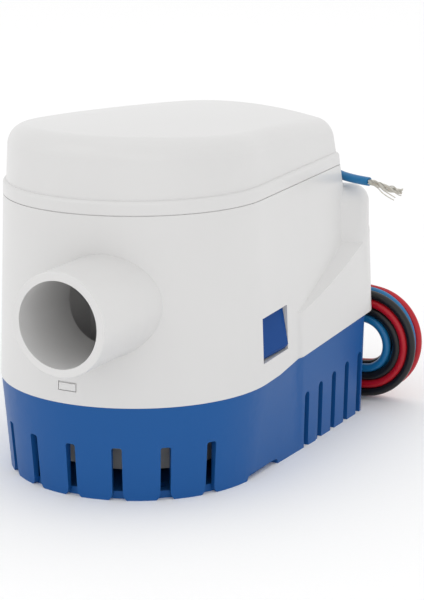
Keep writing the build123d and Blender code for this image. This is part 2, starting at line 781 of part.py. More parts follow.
with BuildPart() as pivot_pin:
    with BuildSketch(Plane.YZ.offset(-ear_x - ear_t)):
        with Locations((pivot_y, pivot_z)):
            Circle(pin_r)
    extrude(amount=2 * (ear_x + ear_t))
save(pivot_pin.part, "pivot_pin")

float_mid_y = float_y + float_len / 2
with BuildPart() as float_shell:
    with BuildSketch(Plane.XY.offset(float_z)):
        with Locations((0, float_mid_y)):
            RectangleRounded(2 * float_half, float_len, 4.0)
    extrude(amount=float_h)
    fillet(float_shell.faces().sort_by(Axis.Z)[-1].edges(), 2.0)
    with BuildSketch(Plane.XY.offset(float_z)):
        with Locations((0, float_mid_y)):
            RectangleRounded(2 * (float_half - float_wall), float_len - 2 * float_wall, 3.0)
    extrude(amount=float_h - float_wall - 4.0, mode=Mode.SUBTRACT)
    with BuildSketch(Plane.XY.offset(float_z + float_h)):
        with Locations((0, float_y + 6.0)):
            Circle(3.0)
    extrude(amount=-3.0, mode=Mode.SUBTRACT)
    for side in (-1, 1):
        with BuildSketch(Plane.YZ.offset(side * (ear_x - ear_t / 2 - 0.3))):
            with BuildLine():
                Line((float_y + 2, pivot_z + 3.4), (pivot_y, pivot_z + 3.4))
                ThreePointArc(
                    (pivot_y, pivot_z + 3.4), (pivot_y - 3.4, pivot_z), (pivot_y, pivot_z - 3.4)
                )
                Polyline(
                    (pivot_y, pivot_z - 3.4), (float_y + 2, pivot_z - 3.4), (float_y + 2, pivot_z + 3.4)
                )
            make_face()
            with Locations((pivot_y, pivot_z)):
                Circle(pin_r + shaft_play, mode=Mode.SUBTRACT)
        extrude(amount=-side * 2.4)
save(float_shell.part, "float_shell")

with BuildPart() as float_cap:
    with BuildSketch(Plane.XY.offset(float_z)):
        with Locations((0, float_mid_y)):
            RectangleRounded(2 * (float_half - float_wall), float_len - 2 * float_wall, 3.0)
    extrude(amount=1.2)
save(float_cap.part, "float_cap")

with BuildPart() as float_magnet:
    with BuildSketch(Plane.XY.offset(float_z + float_h)):
        with Locations((0, float_y + 6.0)):
            Circle(3.0)
    extrude(amount=-3.0)
save(float_magnet.part, "float_magnet")

# ---- cable gland and leads ----
gland_seat_y, gland_flange, gland_face_y = 69.2, 1.4, 72.8
with BuildPart() as cable_gland:
    with BuildSketch(Plane.XZ.offset(shell - electrics_rear_y)):
        with Locations((0, gland_z)):
            RectangleRounded(20.0, 5.2, 1.5)
    extrude(amount=electrics_rear_y - shell - gland_seat_y)
    with BuildSketch(Plane.XZ.offset(-gland_seat_y)):
        with Locations((0, gland_z)):
            RectangleRounded(21.5, 6.0, 2.0)
    extrude(amount=-gland_flange)
    for k in (-1, 0, 1):
        with BuildSketch(Plane.XZ.offset(-gland_seat_y - gland_flange)):
            with Locations((k * lead_pitch, gland_z)):
                Circle(2.6)
        extrude(amount=-(gland_face_y - gland_seat_y - gland_flange), taper=6)
save(cable_gland.part, "cable_gland")

hank_top = hank_z + hank_r + wire_r
lead_routes = {
    "red_lead": [
        (lead_pitch, gland_face_y, gland_z),
        (lead_pitch + 0.4, 80.6, 77.8),
        (8.5, 88.4, 71.4),
        (12.0, 90.2, 62.0),
        (15.0, 91.2, 50.5),
        (20.0, 91.2, 41.5),
        (28.0, 91.0, 36.9),
    ],
    "black_lead": [
        (0.0, gland_face_y, gland_z),
        (0.3, 80.8, 78.4),
        (1.5, 88.4, 72.0),
        (4.5, 89.4, 64.0),
        (8.5, 88.0, 52.5),
        (15.0, 86.4, 43.0),
        (24.0, 85.6, 36.9),
    ],
    "blue_lead": [
        (-lead_pitch, gland_face_y, gland_z),
        (-lead_pitch, 80.8, 78.0),
        (-lead_pitch + 0.5, 88.6, 71.6),
        (-2.5, 90.4, 61.5),
        (2.5, 90.2, 50.0),
        (11.0, 89.0, 42.0),
        (20.0, 88.4, 36.9),
    ],
    "blue_tail": [
        (-44.0, 85.6, 31.5),
        (-36.0, 83.6, 42.5),
        (-24.0, 82.4, 50.5),
        (-9.0, 82.0, 55.5),
        (5.0, 82.2, 60.5),
        (15.0, 82.6, 67.5),
        (21.5, 80.0, 76.0),
        (28.5, 74.2, 78.8),
        (35.5, 70.5, 76.8),
        (43.5, 68.0, 76.6),
    ],
}


def corner_radii(points):
    """The largest arc at each corner that both of its runs allow."""
    radii = []
    for before, corner, after in zip(points, points[1:], points[2:]):
        run_in, run_out = Vector(*corner) - Vector(*before), Vector(*after) - Vector(*corner)
        half_turn = radians(run_in.get_angle(run_out)) / 2
        radii.append(0.45 * min(run_in.length, run_out.length) / tan(half_turn))
    return radii


for name, route in lead_routes.items():
    radii = corner_radii(route)
    runs = [(Vector(*b) - Vector(*a)).length for a, b in zip(route, route[1:])]
    with BuildPart() as lead:
        with BuildLine() as path:
            FilletPolyline(*route, radius=radii)
        with BuildSketch(Plane(origin=route[0], z_dir=Vector(*route[1]) - Vector(*route[0]))):
            Circle(wire_r)
        sweep()
    length = path.wire().length
    print(name, "radii", [round(r, 1) for r in radii], "runs", [round(r, 1) for r in runs])
    print("  length", round(length, 1), "volume ratio", round(lead.part.volume / (length * pi * wire_r**2), 4))
    save(lead.part, name)

with BuildPart() as lead_hank:
    with BuildSketch(Plane.XZ.offset(-hank_y)):
        with Locations((0, hank_z)):
            SlotCenterToCenter(2 * hank_half, 2 * (hank_r + wire_r))
            inner_d = 2 * (hank_r - (hank_turns - 1) * wire_d - wire_r)
            SlotCenterToCenter(2 * hank_half, inner_d, mode=Mode.SUBTRACT)
    extrude(amount=hank_layers * wire_r + 0.1, both=True)
save(lead_hank.part, "lead_hank")

with BuildPart() as hank_tie:
    bundle_h = hank_turns * wire_d
    with BuildSketch(Plane.YZ.offset(-14.0)):
        with Locations((hank_y, hank_top - bundle_h / 2)):
            RectangleRounded(hank_layers * wire_d + 0.2 + 2 * tie_t, bundle_h + 2 * tie_t, 1.6)
            Rectangle(hank_layers * wire_d + 0.2, bundle_h, mode=Mode.SUBTRACT)
        with Locations((hank_y + 2.2, hank_top + tie_t + 1.4)):
            Rectangle(4.6, 3.6)
    extrude(amount=tie_w / 2, both=True)
save(hank_tie.part, "hank_tie")

tail_end = Vector(*lead_routes["blue_tail"][-1])
with BuildPart() as bare_strands:
    with BuildLine():
        FilletPolyline(
            tail_end, tail_end + (4.0, -0.3, -0.6), tail_end + (strip_len, 0.2, -2.4), radius=6.0
        )
    with BuildSketch(Plane(origin=tail_end, z_dir=(4.0, -0.3, -0.6))):
        Circle(strip_r)
    sweep()
save(bare_strands.part, "bare_strands")
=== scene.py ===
"""Finishes, leads and studio for an automatic bilge pump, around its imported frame.

Metres, +Z up, in the frame's own coordinates: the origin is on the motor axis, on the floor,
the outlet nozzle points to -Y and the float chamber is on the +Y side.
"""

import json
from math import cos, pi, radians, sin, tau
from random import Random

import bmesh
import bpy
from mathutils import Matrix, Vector


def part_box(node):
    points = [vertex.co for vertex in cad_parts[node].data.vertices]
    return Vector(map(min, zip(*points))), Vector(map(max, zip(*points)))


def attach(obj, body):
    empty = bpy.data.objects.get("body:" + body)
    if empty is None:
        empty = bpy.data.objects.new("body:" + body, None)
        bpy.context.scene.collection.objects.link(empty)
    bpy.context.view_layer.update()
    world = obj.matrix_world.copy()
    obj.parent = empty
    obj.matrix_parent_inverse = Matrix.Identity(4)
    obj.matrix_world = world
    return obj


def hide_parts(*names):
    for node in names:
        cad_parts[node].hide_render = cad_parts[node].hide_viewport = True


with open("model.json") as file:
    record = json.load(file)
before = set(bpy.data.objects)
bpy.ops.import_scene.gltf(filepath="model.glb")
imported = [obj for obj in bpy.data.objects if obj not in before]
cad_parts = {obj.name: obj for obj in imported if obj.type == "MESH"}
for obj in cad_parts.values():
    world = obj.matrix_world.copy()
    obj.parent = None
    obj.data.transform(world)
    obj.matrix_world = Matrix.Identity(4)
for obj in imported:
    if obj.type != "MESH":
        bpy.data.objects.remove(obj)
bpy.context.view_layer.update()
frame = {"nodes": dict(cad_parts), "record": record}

bl_info = {
    "name": "Bilge Pump",
    "version": (1, 0, 0),
    "blender": (4, 5, 0),
    "location": "3D View > Sidebar > Bilge Pump",
    "description": "Finishes, leads and studio for an automatic bilge pump",
    "category": "Add Mesh",
}

MM = 0.001

# ---- routes of the leads, in millimetres, the same points as their solids have ----
LEAD_ROUTES = {
    "red": [
        (6.4, 72.8, 77.6),
        (6.8, 80.6, 77.8),
        (8.5, 88.4, 71.4),
        (12.0, 90.2, 62.0),
        (15.0, 91.2, 50.5),
        (20.0, 91.2, 41.5),
        (28.0, 91.0, 36.9),
    ],
    "black": [
        (0.0, 72.8, 77.6),
        (0.3, 80.8, 78.4),
        (1.5, 88.4, 72.0),
        (4.5, 89.4, 64.0),
        (8.5, 88.0, 52.5),
        (15.0, 86.4, 43.0),
        (24.0, 85.6, 36.9),
    ],
    "blue": [
        (-6.4, 72.8, 77.6),
        (-6.4, 80.8, 78.0),
        (-5.9, 88.6, 71.6),
        (-2.5, 90.4, 61.5),
        (2.5, 90.2, 50.0),
        (11.0, 89.0, 42.0),
        (20.0, 88.4, 36.9),
    ],
}
# the blue lead leaves the last turn in front of the others, then climbs over the rear shoulder
BLUE_LEAVING = [
    (-12.0, 85.2, 10.0),
    (-26.0, 84.0, 10.0),
    (-38.0, 82.7, 10.4),
    (-46.5, 82.5, 14.0),
    (-50.0, 82.5, 21.5),
    (-48.5, 82.6, 27.5),
]
BLUE_TAIL = [
    (-44.0, 83.0, 32.5),
    (-36.0, 83.0, 42.5),
    (-24.0, 82.4, 50.5),
    (-9.0, 82.0, 55.5),
    (5.0, 82.2, 60.5),
    (15.0, 82.6, 67.5),
    (21.5, 80.0, 76.0),
    (28.0, 74.4, 78.2),
    (35.5, 70.5, 76.7),
    (44.1, 68.0, 76.7),
]
TAIL_STRANDS = [(0.0, 0.0, 0.0), (4.0, -0.3, -0.6), (7.5, 0.0, -2.0), (11.0, 0.2, -2.4)]
STRAY_STRAND = [(0.0, 0.3, -0.3), (3.0, 0.2, -1.0), (5.2, -0.2, -3.2), (8.6, 0.0, -4.9)]

GLAND_GRIP = 2.0  # mm of each lead inside the gland

# ---- the hank, in millimetres ----
# layer of each turn at the visible end, from the front of the hank to its rear
TURN_LAYERS = {"red": (2, 0, 2, 2), "black": (0, 2, 0, 1), "blue": (1, 1, 1, 0)}
LAST_TURN_END = {"red": 7.0, "black": -1.0}  # where the cut end lies on the top run
LAYER_SLIP = ((-1.4, -0.2), (-2.0, 0.2), (-1.6, 0.0))  # each layer's visible end, along and up
LOOP_STEPS = 8  # from one end of an end loop to the other
LOOP_SWELL = 0.019  # how much fuller an end loop is at its outermost point
BOTTOM_RUN = (20.0, 0.0, -20.0)  # where along X the lower straight has its points
TOP_RUN = ((-20.0, 0.0), (-2.0, 0.0), (14.0, 0.45), (27.0, 1.0))  # the same, and drops in diameters
RUN_STRAY = 0.15  # how far a straight strays in depth
BLUE_LEAVES = 10.0  # where along X the blue lead leaves its last turn

# ---- stripped ends, screws and welds, in metres unless said ----
BUNDLE_RADIUS = 0.85 * MM
GOLDEN_ANGLE = 2.39996  # spreads the strands evenly over their bundle
STRAND_POINTS = 28
CUT_END = ((-2.0, 0.0, 0.1), (2.0, 0.0, -0.1), (6.0, 0.0, -0.5))  # mm, strands past a cut end
INTAKE_HEAD_RADIUS, INTAKE_HEAD_HEIGHT, INTAKE_SHANK_RADIUS = 2.4 * MM, 1.8 * MM, 1.28 * MM
BOARD_HEAD_RADIUS, BOARD_HEAD_HEIGHT, BOARD_SHANK_RADIUS = 2.0 * MM, 1.2 * MM, 1.08 * MM
INTAKE_SCREW_ANGLES = (tau / 4, tau * 7 / 12, tau * 11 / 12)
WELD_DISTANCE = 2e-6
SHARP_MOULDING, SHARP_SMALL_PIECE = radians(28), radians(40)
STRIPE_EDGE = (0.0108, 0.0112)  # where along X the capacitor's stripe begins

# ---- studio, in metres ----
AIM_HEIGHT, AIM_RIGHT, AIM_DOWN = 0.050, 0.0215, 0.0013  # above the floor, then across the view
LAMP_TARGET = (0, 0.02, 0.05)
FLOOR_HALF = 3.0


# ---- what a user would change ----
class PumpFinishes(bpy.types.PropertyGroup):
    """Colours of the mouldings and of the leads; the latches' colour is the base's blue darkened as
    painted shade.
    """

    shell_colour: bpy.props.FloatVectorProperty(
        name="Shell",
        description="Housing and cover",
        subtype="COLOR",
        size=4,
        default=(0.675, 0.67, 0.665, 1),
    )
    base_colour: bpy.props.FloatVectorProperty(
        name="Base",
        description="Strainer base",
        subtype="COLOR",
        size=4,
        default=(0.010, 0.090, 0.30, 1),
    )
    # the latches share the base's moulding; this darker blue is painted shade of their recess in the
    # housing's windows
    latch_shade_colour: bpy.props.FloatVectorProperty(
        name="Latches",
        description="Side latches",
        subtype="COLOR",
        size=4,
        default=(0.004, 0.055, 0.235, 1),
    )
    red_colour: bpy.props.FloatVectorProperty(
        name="Red lead",
        description="Supply lead",
        subtype="COLOR",
        size=4,
        default=(0.46, 0.006, 0.016, 1),
    )
    black_colour: bpy.props.FloatVectorProperty(
        name="Black lead",
        description="Ground lead",
        subtype="COLOR",
        size=4,
        default=(0.010, 0.010, 0.011, 1),
    )
    blue_colour: bpy.props.FloatVectorProperty(
        name="Blue lead",
        description="Switch lead",
        subtype="COLOR",
        size=4,
        default=(0.010, 0.155, 0.36, 1),
    )


class PumpLeads(bpy.types.PropertyGroup):
    """Sizes of the leads and of the hank they are tied in."""

    wire_diameter: bpy.props.FloatProperty(
        name="Wire",
        description="Outside diameter of a lead",
        subtype="DISTANCE",
        unit="LENGTH",
        default=2.8 * MM,
    )
    hank_depth_place: bpy.props.FloatProperty(
        name="Hank place",
        description="Middle of the hank behind the pump",
        unit="LENGTH",
        default=88.2 * MM,
    )
    hank_height: bpy.props.FloatProperty(
        name="Hank height",
        description="Centre of its end loops above the floor",
        unit="LENGTH",
        default=19.0 * MM,
    )
    hank_half: bpy.props.FloatProperty(
        name="Hank half",
        description="From its middle to an end loop's centre",
        unit="LENGTH",
        default=37.0 * MM,
    )
    loop_radius: bpy.props.FloatProperty(
        name="End loop",
        description="Radius of the outermost turn's end loop",
        unit="LENGTH",
        default=17.4 * MM,
    )
    end_drawn_in: bpy.props.FloatProperty(
        name="Drawn in",
        description="How much smaller the visible end loops are",
        unit="LENGTH",
        default=0.4 * MM,
    )
    looseness: bpy.props.FloatProperty(
        name="Looseness",
        description="How far the turns stray at their ends",
        unit="LENGTH",
        default=0.8 * MM,
    )
    strand_count: bpy.props.IntProperty(
        name="Strands", description="Tinned strands in a lead", default=19, min=3, max=60
    )
    strand_radius: bpy.props.FloatProperty(
        name="Strand",
        description="Radius of one tinned strand",
        unit="LENGTH",
        default=0.17 * MM,
        precision=5,
    )


class PumpStudio(bpy.types.PropertyGroup):
    """Camera and lights."""

    azimuth: bpy.props.FloatProperty(
        name="Azimuth",
        description="Camera's turn from -Y towards +X",
        subtype="ANGLE",
        default=radians(27.5),
    )
    elevation: bpy.props.FloatProperty(
        name="Elevation",
        description="Camera's height above level",
        subtype="ANGLE",
        default=radians(14.2),
    )
    distance: bpy.props.FloatProperty(
        name="Distance",
        description="Camera to its aim point",
        subtype="DISTANCE",
        unit="LENGTH",
        default=0.559,
    )
    lens: bpy.props.FloatProperty(
        name="Lens",
        description="Focal length, millimetres on a 36 mm sensor",
        subtype="DISTANCE_CAMERA",
        default=113.6,
    )
    key_power: bpy.props.FloatProperty(
        name="Key light",
        description="Soft light from the front left",
        subtype="POWER",
        unit="POWER",
        default=1.3,
    )
    floor_colour: bpy.props.FloatVectorProperty(
        name="Floor",
        description="Floor and backdrop",
        subtype="COLOR",
        size=4,
        default=(0.98, 0.98, 0.98, 1),
    )


# ---- node trees as expressions ----
class Value:
    """A number, colour or vector that varies. Arithmetic on it adds Math nodes to its tree."""

    def __init__(self, tree, socket):
        self.tree = tree
        self.socket = socket

    def math(self, operation, *values):
        return self.tree.node("ShaderNodeMath", {"operation": operation}, dict(enumerate(values)))[0]

    def __add__(self, other):
        return self.math("ADD", self, other)

    def __sub__(self, other):
        return self.math("SUBTRACT", self, other)

    def __rsub__(self, other):
        return self.math("SUBTRACT", other, self)

    def __mul__(self, other):
        return self.math("MULTIPLY", self, other)

    def __truediv__(self, other):
        return self.math("DIVIDE", self, other)

    def __pow__(self, other):
        return self.math("POWER", self, other)

    __radd__ = __add__

    def band(self, low, high):
        """0 below low, 1 above high, smooth between them."""
        settings = {"interpolation_type": "SMOOTHSTEP"}
        inputs = {"Value": self, "From Min": low, "From Max": high}
        return self.tree.node("ShaderNodeMapRange", settings, inputs)[0]


class Made:
    """A node that was added to a tree. Its outputs are read by name or number."""

    def __init__(self, tree, node):
        self.tree = tree
        self.made = node

    def __getitem__(self, output):
        return Value(self.tree, self.made.outputs[output])


class Tree:
    """A shader or geometry node tree that is filled by calls."""

    def __init__(self, nodes):
        self.nodes = nodes

    def node(self, kind, settings=None, inputs=None):
        """Add a node, set its own settings first, then give its sockets their values or links."""
        made = self.nodes.nodes.new(kind)
        for key, value in (settings or {}).items():
            setattr(made, key, value)
        for key, value in (inputs or {}).items():
            if isinstance(value, Value):
                self.nodes.links.new(value.socket, made.inputs[key])
            else:
                made.inputs[key].default_value = value
        return Made(self, made)

    def place(self):
        """Object coordinates, in metres."""
        return self.node("ShaderNodeTexCoord")["Object"]

    def stretched(self, scale):
        """Object coordinates, scaled by axis."""
        return self.node("ShaderNodeMapping", {}, {"Vector": self.place(), "Scale": scale})[0]

    def noise(self, scale, detail, vector=None, roughness=0.5):
        """Clouds, in object coordinates unless others are given."""
        vector = vector or self.place()
        inputs = {"Vector": vector, "Scale": scale, "Detail": detail, "Roughness": roughness}
        return self.node("ShaderNodeTexNoise", {}, inputs)[0]

    def cells(self, scale):
        """Distance to the middle of the nearest cell."""
        inputs = {"Vector": self.place(), "Scale": scale}
        return self.node("ShaderNodeTexVoronoi", {}, inputs)["Distance"]

    def mix(self, share, first, second):
        """Colour between first and second."""
        return self.node("ShaderNodeMix", {"data_type": "RGBA"}, {0: share, 6: first, 7: second})[2]

    def bump(self, height, depth, strength):
        """Normals from a height, whose full range is depth metres."""
        inputs = {"Height": height, "Distance": depth, "Strength": strength}
        return self.node("ShaderNodeBump", {}, inputs)[0]

    def surface(self, **sockets):
        """Close the tree with one Principled surface. Underscores stand for spaces in names."""
        inputs = {key.replace("_", " "): value for key, value in sockets.items()}
        shader = self.node("ShaderNodeBsdfPrincipled", {}, inputs)
        self.node("ShaderNodeOutputMaterial", {}, {"Surface": shader[0]})


def shade(colour, share):
    """A colour made lighter or darker."""
    return tuple(min(1.0, c * share) for c in colour[:3]) + (1.0,)


# ---- finishes ----
def moulded(tree, colour, roughness, coat=0.0, grain=0.4, gloss=0.5):
    """Injection moulded plastic: faint flow clouds, fine orange peel and hairline scuffs."""
    cloud = tree.noise(38, 3)
    streaks = tree.noise(60, 4, tree.stretched((1.0, 1.0, 0.12)), 0.6)
    peel = tree.noise(900, 2)
    scuff = tree.noise(55, 6, tree.stretched((0.5, 4.0, 9.0)), 0.75).band(0.66, 0.72)
    tone = cloud * 0.6 + streaks * 0.4
    tree.surface(
        Base_Color=tree.mix(tone, shade(colour, 0.955), shade(colour, 1.03)),
        Roughness=roughness + tone * 0.10 + scuff * 0.10,
        Normal=tree.bump(peel * 0.5 + cloud * 1.6 + scuff * 0.25, 0.00012 * grain, 0.35),
        Coat_Weight=coat,
        Coat_Roughness=0.12,
        Specular_IOR_Level=gloss,
        IOR=1.5,
    )


def insulation(tree, colour):
    """Extruded soft sheath: faint lengthways draw lines, finger-dulled patches."""
    patch = tree.noise(70, 3)
    draw = tree.noise(1400, 2, tree.stretched((0.08, 1.0, 1.0)))
    tree.surface(
        Base_Color=tree.mix(patch, shade(colour, 0.80), shade(colour, 1.18)),
        Roughness=0.24 + patch * 0.16,
        Normal=tree.bump(draw + patch * 1.5, 0.00004, 0.4),
        Specular_IOR_Level=0.35,
        IOR=1.52,
    )


def rubber(tree, colour):
    """Soft moulded rubber: matte, with fine pores and a light bloom."""
    bloom = tree.noise(120, 4)
    pores = tree.cells(2600)
    tree.surface(
        Base_Color=tree.mix(bloom, shade(colour, 0.7), shade(colour, 1.7)),
        Roughness=0.55 + bloom * 0.2,
        Normal=tree.bump(pores + bloom, 0.00005, 0.5),
    )


def metal(tree, colour, roughness, stretch, wear=0.25):
    """Ground, drawn or turned metal, with lines along the way it was worked."""
    lines = tree.noise(900, 5, tree.stretched(stretch), 0.7)
    tarnish = tree.noise(130, 4).band(0.42, 0.75)
    tree.surface(
        Base_Color=tree.mix(tarnish * wear, colour, shade(colour, 0.45)),
        Metallic=1.0 - tarnish * 0.15,
        Roughness=roughness + lines * 0.16 + tarnish * 0.14,
        Normal=tree.bump(lines, 0.00003, 0.6),
    )


def laminations(tree, colour):
    """Stacked punchings: thin level sheets with bluish scale and rusty seams."""
    waves = tree.node(
        "ShaderNodeTexWave",
        {"bands_direction": "Z", "wave_profile": "SAW"},
        {"Vector": tree.place(), "Scale": 320.0, "Distortion": 0.4, "Detail": 2.0},
    )["Fac"]
    rust = tree.noise(260, 4).band(0.55, 0.7)
    seam = waves.band(0.8, 1.0)
    tone = tree.mix(rust * 0.5, shade(colour, 1.1), (0.16, 0.07, 0.04, 1))
    tree.surface(
        Base_Color=tree.mix(seam * 0.8, tone, shade(colour, 0.25)),
        Metallic=0.9 - rust * 0.6,
        Roughness=0.42 + rust * 0.3 + seam * 0.1,
        Normal=tree.bump(1 - seam, 0.00008, 0.8),
    )


def windings(tree, colour):
    """Varnished copper wire, laid turn beside turn, with painted shade in the grooves between the
    turns.
    """
    turns_and_groove_shade = tree.node(
        "ShaderNodeTexWave",
        {"bands_direction": "Z"},
        {"Vector": tree.place(), "Scale": 560.0, "Distortion": 1.6, "Detail": 1.0},
    )["Fac"]
    varnish = tree.noise(300, 3)
    tree.surface(
        # the bands darken the copper between turns as painted shade; the varnish clouds are the
        # enamel's own tone
        Base_Color=tree.mix(turns_and_groove_shade * 0.6 + varnish * 0.4, shade(colour, 0.35), shade(colour, 1.1)),
        Metallic=0.85,
        Roughness=0.22 + varnish * 0.2,
        Normal=tree.bump(turns_and_groove_shade, 0.00012, 0.9),
        Coat_Weight=0.5,
    )


def grains(tree, colour, size, contrast, roughness, metallic=0.0):
    """Pressed or sintered stuff: one grain beside another."""
    grain = tree.cells(size)
    mottle = tree.noise(size * 0.4, 4)
    tone = grain * 0.7 + mottle * 0.5
    tree.surface(
        Base_Color=tree.mix(tone, shade(colour, 1 - contrast), shade(colour, 1 + contrast)),
        Metallic=metallic,
        Roughness=roughness + mottle * 0.15,
        Normal=tree.bump(grain, 0.00006, 0.7),
    )


def circuit_board(tree, colour):
    """Solder mask over copper tracks, with bare pads where the parts sit."""
    tracks = tree.node(
        "ShaderNodeTexBrick",
        {"offset": 0.5},
        {"Vector": tree.place(), "Scale": 130.0, "Mortar Size": 0.06, "Mortar Smooth": 0.3},
    )["Fac"]
    pads = 1 - tree.cells(260).band(0.16, 0.2)
    mask = tree.mix(tracks, colour, shade(colour, 1.9))
    tree.surface(
        Base_Color=tree.mix(pads, mask, (0.62, 0.60, 0.55, 1)),
        Metallic=pads * 0.9,
        Roughness=0.28 + tree.noise(400, 2) * 0.15,
        Normal=tree.bump(tracks + pads, 0.00005, 0.6),
        Coat_Weight=0.3,
    )


def sleeve(tree, colour):
    """Shrunk printed sleeve with a pale polarity stripe down one side."""
    side = tree.node("ShaderNodeSeparateXYZ", {}, {"Vector": tree.place()})[0]
    stripe = side.band(*STRIPE_EDGE)
    tree.surface(
        Base_Color=tree.mix(stripe, colour, (0.55, 0.56, 0.58, 1)),
        Roughness=0.25 + tree.noise(500, 3) * 0.2,
        Normal=tree.bump(tree.noise(700, 3), 0.00004, 0.5),
        Coat_Weight=0.4,
    )


def tinned(tree, colour):
    """Tinned copper strands, dull silver with copper showing at the kinks."""
    dull = tree.noise(900, 4)
    copper = tree.noise(1500, 3).band(0.6, 0.7)
    tree.surface(
        Base_Color=tree.mix(copper * 0.5, shade(colour, 0.95), (0.55, 0.36, 0.22, 1)),
        Metallic=0.9,
        Roughness=0.26 + dull * 0.25,
        Normal=tree.bump(dull, 0.00003, 0.6),
    )


def floor_paint(tree, colour):
    """Matte studio paper."""
    fibre = tree.noise(900, 5)
    tree.surface(
        Base_Color=tree.mix(fibre, shade(colour, 0.985), shade(colour, 1.01)),
        Roughness=0.8,
        Normal=tree.bump(fibre, 0.00002, 0.2),
    )


def finish(name, painter, *values, **settings):
    """A material made by one of the finishes above."""
    material = bpy.data.materials.new(name)
    material.use_nodes = True
    material.node_tree.nodes.clear()
    painter(Tree(material.node_tree), *values, **settings)
    return material


def make_finishes(colours):
    """One material for each material slot of the record, and one more for the latches, whose colour is
    their slot's base blue darkened as painted shade.
    """
    white, blue, latch_in_shade = colours.shell_colour, colours.base_colour, colours.latch_shade_colour
    steel, zinc, ferrite = (0.62, 0.62, 0.63, 1), (0.55, 0.56, 0.58, 1), (0.07, 0.07, 0.075, 1)
    carbon, bronze, copper = (0.03, 0.03, 0.032, 1), (0.45, 0.30, 0.12, 1), (0.78, 0.36, 0.20, 1)
    looks = {
        "white_shell": (moulded, (white, 0.27, 0.15), {}),
        "blue_base": (moulded, (blue, 0.34), {"grain": 0.6, "gloss": 0.2}),
        # a darker copy of the base's moulding: painted shade on the latches in their windows
        "blue_latch_shaded": (moulded, (latch_in_shade, 0.36), {"gloss": 0.05}),
        "grey_pump": (moulded, ((0.50, 0.50, 0.49, 1), 0.42), {"grain": 0.8}),
        "black_impeller": (moulded, ((0.030, 0.030, 0.032, 1), 0.45), {"grain": 1.0}),
        "black_rubber": (rubber, ((0.022, 0.022, 0.024, 1),), {}),
        "stainless_steel": (metal, (steel, 0.22, (1, 1, 12)), {}),
        "zinc_can": (metal, (zinc, 0.34, (8, 8, 0.6)), {"wear": 0.4}),
        "laminated_iron": (laminations, ((0.26, 0.26, 0.28, 1),), {}),
        "enamelled_copper": (windings, ((0.62, 0.24, 0.08, 1),), {}),
        "copper_segments": (metal, (copper, 0.2, (1, 1, 10)), {"wear": 0.5}),
        "ferrite": (grains, (ferrite, 1500.0, 0.4, 0.55), {}),
        "carbon": (grains, (carbon, 2200.0, 0.6, 0.5, 0.2), {}),
        "sintered_bronze": (grains, (bronze, 2600.0, 0.5, 0.38, 0.9), {}),
        "brass": (metal, ((0.75, 0.56, 0.24, 1), 0.25, (1, 8, 1)), {}),
        "circuit_board": (circuit_board, ((0.02, 0.17, 0.06, 1),), {}),
        "component_black": (moulded, ((0.02, 0.02, 0.022, 1), 0.5), {"grain": 1.0}),
        "capacitor_sleeve": (sleeve, ((0.03, 0.04, 0.10, 1),), {}),
        "float_foam": (moulded, ((0.70, 0.69, 0.66, 1), 0.45), {"grain": 1.0}),
        "red_insulation": (insulation, (colours.red_colour,), {}),
        "black_insulation": (insulation, (colours.black_colour,), {}),
        "blue_insulation": (insulation, (colours.blue_colour,), {}),
        "tinned_copper": (tinned, ((0.66, 0.64, 0.58, 1),), {}),
        "nylon_tie": (moulded, ((0.72, 0.71, 0.66, 1), 0.35, 0.1), {"grain": 0.7}),
    }
    return {
        slot: finish(slot + "_finish", painter, *values, **settings)
        for slot, (painter, values, settings) in looks.items()
    }


FINISHES = {}


def finish_of(slot):
    """The slot's material, made with all the others the first time that one is asked for."""
    if not FINISHES:
        FINISHES.update(make_finishes(bpy.context.scene.pump_finishes))
    return FINISHES[slot]


# ---- making and placing pieces ----
def own_piece(name, mesh, material, body="housing"):
    """Put a mesh in the scene as a piece that rides on a body."""
    mesh.materials.clear()
    mesh.materials.append(material)
    piece = bpy.data.objects.new(name, mesh)
    bpy.context.scene.collection.objects.link(piece)
    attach(piece, body)
    return piece


def smooth_copy(node, body, material):
    """A welded, smooth-shaded copy of a CAD node that stands for it."""
    mesh = frame["nodes"][node].data.copy()
    if "custom_normal" in mesh.attributes:
        mesh.attributes.remove(mesh.attributes["custom_normal"])
    welded = bmesh.new()
    welded.from_mesh(mesh)
    bmesh.ops.remove_doubles(welded, verts=welded.verts, dist=WELD_DISTANCE)
    welded.to_mesh(mesh)
    welded.free()
    mesh.shade_smooth()
    mesh.set_sharp_from_angle(angle=SHARP_MOULDING)
    carrier = bpy.data.objects.new(node + "_weld", mesh)
    bpy.context.scene.collection.objects.link(carrier)
    weighted = carrier.modifiers.new("even shading", "WEIGHTED_NORMAL")
    weighted.keep_sharp = True
    weighted.weight = 100
    piece = own_piece(node + "_shell", baked(carrier), material, body)
    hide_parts(node)


def baked(carrier):
    """The evaluated mesh of an object, which is then removed."""
    bpy.context.view_layer.update()
    graph = bpy.context.evaluated_depsgraph_get()
    mesh = bpy.data.meshes.new_from_object(
        carrier.evaluated_get(graph), preserve_all_data_layers=True, depsgraph=graph
    )
    bpy.data.objects.remove(carrier)
    return mesh


def nurbs(name, points, radius=0.0):
    """A curve object with one open spline whose control points are given in millimetres."""
    curve = bpy.data.curves.new(name, "CURVE")
    curve.dimensions = "3D"
    curve.resolution_u = 8
    curve.bevel_depth = radius
    curve.bevel_resolution = 5
    curve.use_fill_caps = True
    spline = curve.splines.new("NURBS")
    spline.points.add(len(points) - 1)
    for control, point in zip(spline.points, points):
        control.co = (*(Vector(point) * MM), 1.0)
    spline.order_u = 3
    spline.use_endpoint_u = True
    piece = bpy.data.objects.new(name, curve)
    bpy.context.scene.collection.objects.link(piece)
    return piece


def run_tree(carrier, tree, **values):
    """Give a carrier a geometry tree with these named inputs, and return the plain mesh it makes."""
    modifier = carrier.modifiers.new(tree.name, "NODES")
    modifier.node_group = tree
    for item in tree.interface.items_tree:
        if item.item_type == "SOCKET" and item.in_out == "INPUT" and item.name in values:
            modifier[item.identifier] = values[item.name]
    return baked(carrier)


